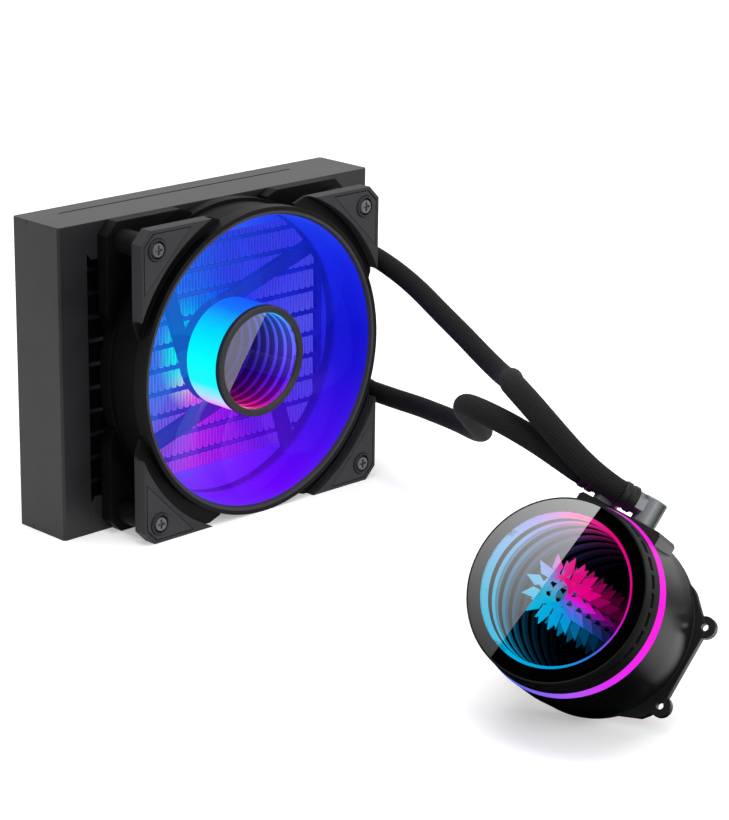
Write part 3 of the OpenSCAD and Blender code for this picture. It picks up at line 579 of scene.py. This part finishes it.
HUB_LIGHT = [
    (0, (60, 20, 235)), (60, (20, 60, 245)), (110, (20, 120, 255)), (140, (0, 215, 255)),
    (170, (0, 255, 255)), (200, (30, 250, 255)), (220, (190, 225, 255)), (234, (250, 160, 255)),
    (250, (250, 70, 245)), (275, (232, 20, 255)), (310, (170, 0, 255)), (360, (60, 20, 235)),
]
fan_hub, tree, shader = new_finish("fan_hub", screen(4, 6, 16), roughness=0.5, specular=0.08)
x, y, z = local_mm(tree, FAN_TURN, FAN_PLACE)
patches = add(tree, "TexNoise", {"Vector": add(tree, "TexCoord").outputs["Object"], "Scale": 120.0})
flicker = add(tree, "MapRange", {"Value": patches.outputs["Fac"], "To Min": 0.94, "To Max": 1.04})
shine(tree, shader, color_round(tree, x, y, HUB_LIGHT), flicker.outputs[0])
finishes["fan_hub"] = fan_hub

# Painted light: the nearly clear blades glow in the hub's colours, fainter towards their tips.
fan_blades, tree, shader = new_finish("fan_blades", screen(30, 60, 235), roughness=0.4, specular=0.1)
x, y, z = local_mm(tree, FAN_TURN, FAN_PLACE)
r = radius(tree, x, y)
fade = add(tree, "MapRange", {"Value": r, "From Min": 21.0, "From Max": 56.0, "To Min": 0.75, "To Max": 0.3})
shine(tree, shader, color_round(tree, x, y, HUB_LIGHT), fade.outputs[0])
shader.inputs["Alpha"].default_value = 0.04
finishes["fan_blades"] = fan_blades
print("fan finishes made")

# %% [markdown]
# Between the flat tubes of the core run folded fins of thin sheet. The CAD model has a coarse
# zigzag there. The finer one here has a wall every 1.6 mm and takes its place. The fan's light on
# its front edges is painted, as an emission that fades towards the back, so the walls show as fine
# upright lines. The flat tubes get the same painted light.

# %% Fins of the core
FIN_LIGHT = [
    (0, (84, 84, 240)), (40, (60, 60, 240)), (80, (50, 70, 240)), (125, (40, 120, 255)),
    (165, (60, 130, 255)), (200, (80, 120, 250)), (230, (120, 90, 245)), (255, (190, 50, 255)),
    (275, (165, 30, 255)), (300, (110, 30, 250)), (330, (80, 60, 240)), (360, (84, 84, 240)),
]


def in_reach(tree, x, r):
    """1 where the fan's painted light falls: a radius of 53.8 mm at the open left edge, where x is below
    -45 mm, and 62.8 mm elsewhere."""
    limit = maths(tree, "ADD", maths(tree, "MULTIPLY", maths(tree, "GREATER_THAN", x, -45.0), 9.0), 53.8)
    return maths(tree, "LESS_THAN", r, limit)


# Painted light on the fins: an emission in the fan's colours that fades from front to back.
fin_paint, tree, shader = new_finish("rad_fins", screen(12, 12, 13), roughness=0.5, specular=0.15)
x, y, z = local_mm(tree, FAN_TURN, FAN_PLACE)
r = radius(tree, x, y)
FIN_DEPTH = [(0.3, 0.0), (0.6, 0.04), (0.74, 0.3), (0.9, 0.58), (0.955, 0.72), (0.99, 1.1)]
falloff = ramp(
    tree,
    add(tree, "MapRange", {"Value": z, "From Min": -22.0, "From Max": -4.0}).outputs[0],
    [(depth, (level, level, level, 1)) for depth, level in FIN_DEPTH],
)
lit = maths(tree, "MULTIPLY", in_reach(tree, x, r), falloff)
near = add(tree, "MapRange", {"Value": r, "From Min": 19.0, "From Max": 28.0})
glow = add(
    tree,
    "Mix",
    {
        0: near.outputs[0],
        6: color_round(tree, x, y, HUB_LIGHT),
        7: color_round(tree, x, y, FIN_LIGHT),
    },
    data_type="RGBA",
)
shine(tree, shader, glow.outputs[2], lit)
streaks = add(
    tree, "TexNoise", {"Vector": add(tree, "TexCoord").outputs["Object"], "Scale": 900.0, "Detail": 2.0}
)
tree.links.new(
    ramp(tree, streaks.outputs["Fac"], [(0.3, screen(8, 8, 9)), (0.7, screen(17, 17, 18))]),
    shader.inputs["Base Color"],
)

# Painted light on the flat tubes too: an emission in the fan's colours on their front edges, fading towards the
# back.
tube_paint, tree, shader = new_finish("rad_core", screen(8, 8, 9), roughness=0.5, specular=0.15)
x, y, z = local_mm(tree, FAN_TURN, FAN_PLACE)
r = radius(tree, x, y)
falloff = add(tree, "MapRange", {"Value": z, "From Min": -12.0, "From Max": -3.5, "To Min": 0.0, "To Max": 0.6})
lit = maths(tree, "MULTIPLY", in_reach(tree, x, r), falloff.outputs[0])
shine(tree, shader, color_round(tree, x, y, FAN_LIGHT), lit)
rounded(tree, shader, 0.2, 3000, 0.1)
finishes["rad_core"] = tube_paint

# The radiator's paint gets painted light, an emission in the fan's colours, only where the fan's opening faces
# it, and is black in the long seams.
rad_black, tree, shader = new_finish("rad_black", screen(24, 24, 26), roughness=0.4, specular=0.3)
x, y, z = local_mm(tree, FAN_TURN, FAN_PLACE)
r = radius(tree, x, y)
level = maths(tree, "ABSOLUTE", y)
fan_glow_mask = maths(tree, "MULTIPLY", step_below(tree, r, 57.2, 0.6), maths(tree, "GREATER_THAN", z, -1.0))
fan_glow_mask = maths(tree, "MULTIPLY", fan_glow_mask, maths(tree, "LESS_THAN", z, 0.2))
glow_behind = maths(tree, "MULTIPLY", in_reach(tree, x, r), maths(tree, "GREATER_THAN", z, -12.0))
glow_behind = maths(tree, "MULTIPLY", glow_behind, maths(tree, "LESS_THAN", z, -0.15))
glow_behind = maths(tree, "MULTIPLY", glow_behind, maths(tree, "LESS_THAN", level, 58.4))
fan_glow_mask = maths(tree, "MAXIMUM", fan_glow_mask, glow_behind)
shine(tree, shader, color_round(tree, x, y, FAN_LIGHT), fan_glow_mask)
seam = maths(tree, "LESS_THAN", maths(tree, "ABSOLUTE", maths(tree, "ADD", z, 18.5)), 0.7)
seam = maths(tree, "MULTIPLY", seam, maths(tree, "LESS_THAN", level, 59.9))
seam = maths(tree, "MULTIPLY", seam, maths(tree, "GREATER_THAN", level, 58.0))
mottle = mottled(tree, shader, 60, screen(26, 26, 28), screen(34, 34, 36))
sunk = add(tree, "Mix", {0: seam, 6: mottle, 7: (0.0, 0.0, 0.0, 1)}, data_type="RGBA")
tree.links.new(sunk.outputs[2], shader.inputs["Base Color"])
rounded(tree, shader, 0.5, 3000, 0.15)
finishes["rad_black"] = rad_black

TUBES, TUBE_T, PLATE_T, CORE = 12, 2.0, 1.5, (-64.6, 54.6)
GAP = (120 - 2 * PLATE_T - TUBES * TUBE_T) / (TUBES + 1)


def fin_sheets(pitch=3.2, depth=19.0):
    """Folded sheets, one a row. Each fold is a wall up, a flat, a wall down and a flat, so the
    outline has corners at 0, 0.06, 0.5 and 0.56 of a pitch, low, high, high and low. Front to
    back the walls wave sideways by up to 1.8 mm, so nobody sees straight through the core."""
    folds = int((CORE[1] - CORE[0]) / pitch)
    start = CORE[0] + 0.5 * (CORE[1] - CORE[0] - folds * pitch)
    corner = np.tile([0.0, 0.06, 0.5, 0.56], folds) + np.repeat(np.arange(folds), 4)
    x = start + corner * pitch
    rise = 0.06 + (GAP - 0.12) * np.tile([0.0, 1.0, 1.0, 0.0], folds)
    rows = PLATE_T + np.arange(TUBES + 1) * (GAP + TUBE_T)
    y = np.array([-depth / 2, -depth / 2 + 2.2, -2.0, 2.5, depth / 2])
    wave = np.array([0.0, 0.0, 1.8, 1.8, 0.0])
    points = np.empty((len(rows), len(y), len(x), 3))
    points[..., 0] = x + wave[None, :, None]
    points[..., 1] = y[None, :, None]
    points[..., 2] = rows[:, None, None] + rise
    sheet = grid_faces(len(y), len(x))
    faces = np.concatenate([sheet + k * len(y) * len(x) for k in range(len(rows))])
    return points.reshape(-1, 3), faces


points, faces = fin_sheets()
fins = make_piece("core_fins", points, faces, "cooler", fin_paint, smooth=False)
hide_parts("fin_stack")
finishes["rad_fins"] = fin_paint
print("fins:", len(faces), "faces")

# %% [markdown]
# Both round windows are infinity mirrors: a mirror at the bottom, a ring of light round it and a
# half-silvered pane in front. They are built as the real ones are. The pane lets the first look
# in, and its underside sends the light back down, so the rings repeat deeper and dimmer.

# %% Infinity mirrors


def mirror_finish(name, color):
    """A polished mirror with a faint unevenness."""
    material, tree, shader = new_finish(name, color, roughness=0.0, metallic=1.0)
    haze = add(tree, "TexNoise", {"Vector": add(tree, "TexCoord").outputs["Object"], "Scale": 40.0})
    tint = ramp(tree, haze.outputs["Fac"], [(0.2, color), (0.8, tuple(min(1, 1.03 * c) for c in color))])
    tree.links.new(tint, shader.inputs["Base Color"])
    tree.links.new(add(tree, "NewGeometry").outputs["True Normal"], shader.inputs["Normal"])
    return material


finishes["mirror"] = mirror_finish("mirror", (0.9, 0.9, 0.9, 1))


def half_mirror(name, rotation, place, top, window, back, gloss):
    """A pane: clear inside the window's radius and black beyond it, glossy on top, and a mirror
    for what is under it. Faces above the height called top belong to its front."""
    material, tree, border = new_finish(name, screen(3, 3, 3), roughness=0.05, specular=0.0)
    x, y, z = local_mm(tree, rotation, place)
    clear = step_below(tree, radius(tree, x, y), window, 0.15)
    see_through = add(tree, "BsdfTransparent", {"Color": (1, 1, 1, 1)})
    face = add(tree, "MixShader", {0: clear, 1: border.outputs[0], 2: see_through.outputs[0]})
    shiny = add(tree, "BsdfAnisotropic", {"Color": (1, 1, 1, 1), "Roughness": 0.0})
    front = add(tree, "MixShader", {0: gloss, 1: face.outputs[0], 2: shiny.outputs[0]})
    silver = add(tree, "BsdfAnisotropic", {"Color": back, "Roughness": 0.0})
    geometry = add(tree, "NewGeometry").outputs
    backfacing = geometry["Backfacing"]
    for flat in (shiny, silver):
        tree.links.new(geometry["True Normal"], flat.inputs["Normal"])
    under = add(tree, "MixShader", {0: backfacing, 1: silver.outputs[0], 2: face.outputs[0]})
    is_top = maths(tree, "GREATER_THAN", z, top)
    whole = add(tree, "MixShader", {0: is_top, 1: under.outputs[0], 2: front.outputs[0]})
    tree.links.new(whole.outputs[0], tree.nodes["Material Output"].inputs["Surface"])
    return material


pump_pane = half_mirror(
    "pump_glass", PUMP_TURN, PUMP_PLACE, 42.8, 24.7, (0.46, 0.46, 0.5, 1), 0.3
)
hub_pane = half_mirror("hub_glass", FAN_TURN, FAN_PLACE, 22.0, 18.9, (0.74, 0.74, 0.8, 1), 0.3)

RING_LIGHT = [
    (0, (250, 20, 230)), (25, (255, 0, 150)), (75, (255, 10, 140)), (108, (255, 60, 170)),
    (123, (200, 110, 215)), (140, (150, 150, 235)), (165, (120, 190, 245)), (205, (60, 200, 240)),
    (250, (0, 205, 255)), (303, (0, 180, 255)), (330, (60, 130, 255)), (350, (180, 60, 255)),
    (360, (250, 20, 230)),
]


def guide_finish(name, rotation, place, stops, dark_below, rest=0.0, dark_arc=None, strength=1.05):
    """A light guide: coloured by angle, and dimmed to a rest level below a height. With an arc,
    given as its two ends in degrees, only that arc is dimmed."""
    material, tree, shader = new_finish(name, screen(6, 6, 8), roughness=0.4, specular=0.05)
    x, y, z = local_mm(tree, rotation, place)
    on = add(tree, "MapRange", {"Value": z, "From Min": dark_below, "From Max": dark_below + 0.25})
    on.inputs["To Min"].default_value = rest
    level = on.outputs[0]
    if dark_arc:
        turn_share = round_the_axis(tree, x, y)
        first, last = dark_arc[0] / 360, dark_arc[1] / 360
        stops_of_arc = [(first - 0.06, (1, 1, 1, 1)), (first, (0, 0, 0, 1)), (last, (0, 0, 0, 1)), (last + 0.06, (1, 1, 1, 1))]
        level = maths(tree, "MAXIMUM", level, ramp(tree, turn_share, stops_of_arc))
    shine(tree, shader, color_round(tree, x, y, stops), maths(tree, "MULTIPLY", level, strength))
    return material


finishes["ring_light"] = guide_finish("ring_light", PUMP_TURN, PUMP_PLACE, RING_LIGHT, 39.4, 0.0, (100, 285))
finishes["motif_light"] = guide_finish("motif_light", PUMP_TURN, PUMP_PLACE, RING_LIGHT, 0.0)

SIDE_LIGHT = [
    (0, (255, 24, 232)), (60, (255, 16, 225)), (200, (120, 90, 240)), (235, (80, 110, 230)),
    (270, (90, 110, 235)), (303, (170, 90, 250)), (325, (225, 50, 250)), (360, (255, 24, 232)),
]
side_light, tree, shader = new_finish("side_light", screen(8, 2, 7), roughness=0.4, specular=0.04)
x, y, z = local_mm(tree, PUMP_TURN, PUMP_PLACE)
haze = add(tree, "TexNoise", {"Vector": add(tree, "TexCoord").outputs["Object"], "Scale": 90.0})
level = add(tree, "MapRange", {"Value": haze.outputs["Fac"], "To Min": 0.96, "To Max": 1.03})
shine(tree, shader, color_round(tree, x, y, SIDE_LIGHT), level.outputs[0])
finishes["side_light"] = side_light

HUB_RING = [
    (0, (100, 90, 255)), (40, (70, 120, 255)), (75, (50, 195, 255)), (110, (120, 225, 250)),
    (180, (200, 215, 255)), (240, (255, 110, 190)), (265, (225, 30, 130)), (290, (150, 10, 170)),
    (325, (84, 24, 235)), (360, (100, 90, 255)),
]
finishes["hub_light"] = guide_finish("hub_light", FAN_TURN, FAN_PLACE, HUB_RING, 20.5, 0.3, None, 1.9)
print("mirror finishes made")

# %% [markdown]
# Each CAD solid takes the finish of its material slot. The two panes share a slot, so they are
# named one by one. Flat shading is kept on flat parts, and the curved walls are smoothed up to
# an angle, after the loose triangles are welded.

# %% Finishes on the CAD solids
special = {
    "front_glass": pump_pane, "hub_lens": hub_pane, "fan_duct": fan_shaded, "fan_rear_frame": fan_shaded,
    "pump_cap": cap_black,
}
slots = {part["node"]: part["material_slot"] for part in frame["record"]["subparts"]}
for name, solid in nodes.items():
    slot_name = slots[name]
    material = special.get(name) or finishes.get(slot_name)
    if material is None:
        continue
    solid.data.materials.clear()
    solid.data.materials.append(material)
    weld = solid.modifiers.new("weld", "WELD")
    weld.merge_threshold = 0.000002
    split = solid.modifiers.new("sharp_edges", "EDGE_SPLIT")
    split.split_angle = math.radians(28)
print("solids with a finish:", len(nodes))

# %% [markdown]
# Two cards of the studio show in the glasses, half lit and half black, with the slanted edge
# between the halves that the panes show. Only glossy rays meet them.

# %% Cards for the glasses


def card(name, upper, lower, bright_side, facing, half_size, fall):
    """A card that only glossy rays meet, places in mm. The line from lower to upper parts its
    bright half, on the side of the third place, from its black half. Along that line the light
    grows as fall[1] u^fall[0], with u from 0 to 1."""
    upper, lower, bright_side = (np.array(p, float) * MM for p in (upper, lower, bright_side))
    n = np.array(facing, float) / np.linalg.norm(facing)
    c = (upper + lower) / 2
    u = upper - lower
    u = u - np.dot(u, n) * n
    u /= np.linalg.norm(u)
    v = np.cross(n, u)
    v *= np.sign(np.dot(v, bright_side - c))
    h = half_size * MM
    corners = [c + h * (a * u + b * v) for a, b in ((-1, -1), (1, -1), (1, 1), (-1, 1))]
    material = bpy.data.materials.new(name)
    material.use_nodes = True
    tree = material.node_tree
    uv = add(tree, "SeparateXYZ", {0: add(tree, "TexCoord").outputs["UV"]}).outputs
    bright = maths(tree, "GREATER_THAN", uv[1], 0.5)
    level = maths(tree, "MULTIPLY", maths(tree, "POWER", uv[0], fall[0]), fall[1])
    glow = add(tree, "Emission", {"Strength": maths(tree, "MULTIPLY", bright, level)})
    tree.nodes.remove(tree.nodes["Principled BSDF"])
    tree.links.new(glow.outputs[0], tree.nodes["Material Output"].inputs["Surface"])
    sheet = stage_sheet(name, corners, material)
    layer = sheet.data.uv_layers.new(name="UVMap")
    layer.data.foreach_set("uv", np.array([0, 0, 1, 0, 1, 1, 0, 1], float))
    for kind in ("camera", "diffuse", "shadow", "transmission", "volume_scatter"):
        setattr(sheet, "visible_" + kind, False)
    return sheet


card("card_pump", (-322, -196, 298), (-369, -177, 234), (-339, -174, 278), (0.77, -0.18, -0.61), 64, (1.5, 2.0))
card("card_barrel", (75, -245, 0.8), (-40, -245, 0.8), (20, -290, 0.8), (0, 0, 1), 57, (0.6, 2.8))

# A small soft lamp in front of the hub does the same for its lens. Its long edge is the slanted
# edge in the glass. Its axes are along that edge, across it, and away from the lens.
LONG_AXIS, CROSS_AXIS, AWAY_AXIS = (0.482, 0.098, 0.871), (-0.589, -0.699, 0.405), (0.648, -0.708, -0.279)
hub_lamp = soft_lamp("lamp_hub", (0.0123, -0.0764, 0.0641), (0, 0, 0), 0.068, 0.0036)
hub_lamp.data.shape = "RECTANGLE"
hub_lamp.data.size_y = 0.034
hub_lamp.matrix_world = Matrix.Translation((0.0123, -0.0764, 0.0641)) @ Matrix(
    (LONG_AXIS, CROSS_AXIS, AWAY_AXIS)
).transposed().to_4x4()
for kind in ("camera", "diffuse", "transmission", "volume_scatter"):
    setattr(hub_lamp, "visible_" + kind, False)

# A black sheet lies on the floor round the pump head, and only glossy rays meet it: a painted dark reflection,
# so that its barrel stays dark.
flag_finish = bpy.data.materials.new("flag_black")
flag_finish.use_nodes = True
flag_finish.node_tree.nodes["Principled BSDF"].inputs["Base Color"].default_value = (0, 0, 0, 1)
flag_finish.node_tree.nodes["Principled BSDF"].inputs["Specular IOR Level"].default_value = 0.0
flag = stage_sheet(
    "flag", [(-0.4, -0.6, 0.0004), (0.3, -0.6, 0.0004), (0.3, -0.12, 0.0004), (-0.4, -0.12, 0.0004)], flag_finish
)
for kind in ("camera", "diffuse", "shadow", "transmission", "volume_scatter"):
    setattr(flag, "visible_" + kind, False)
print("cards placed")
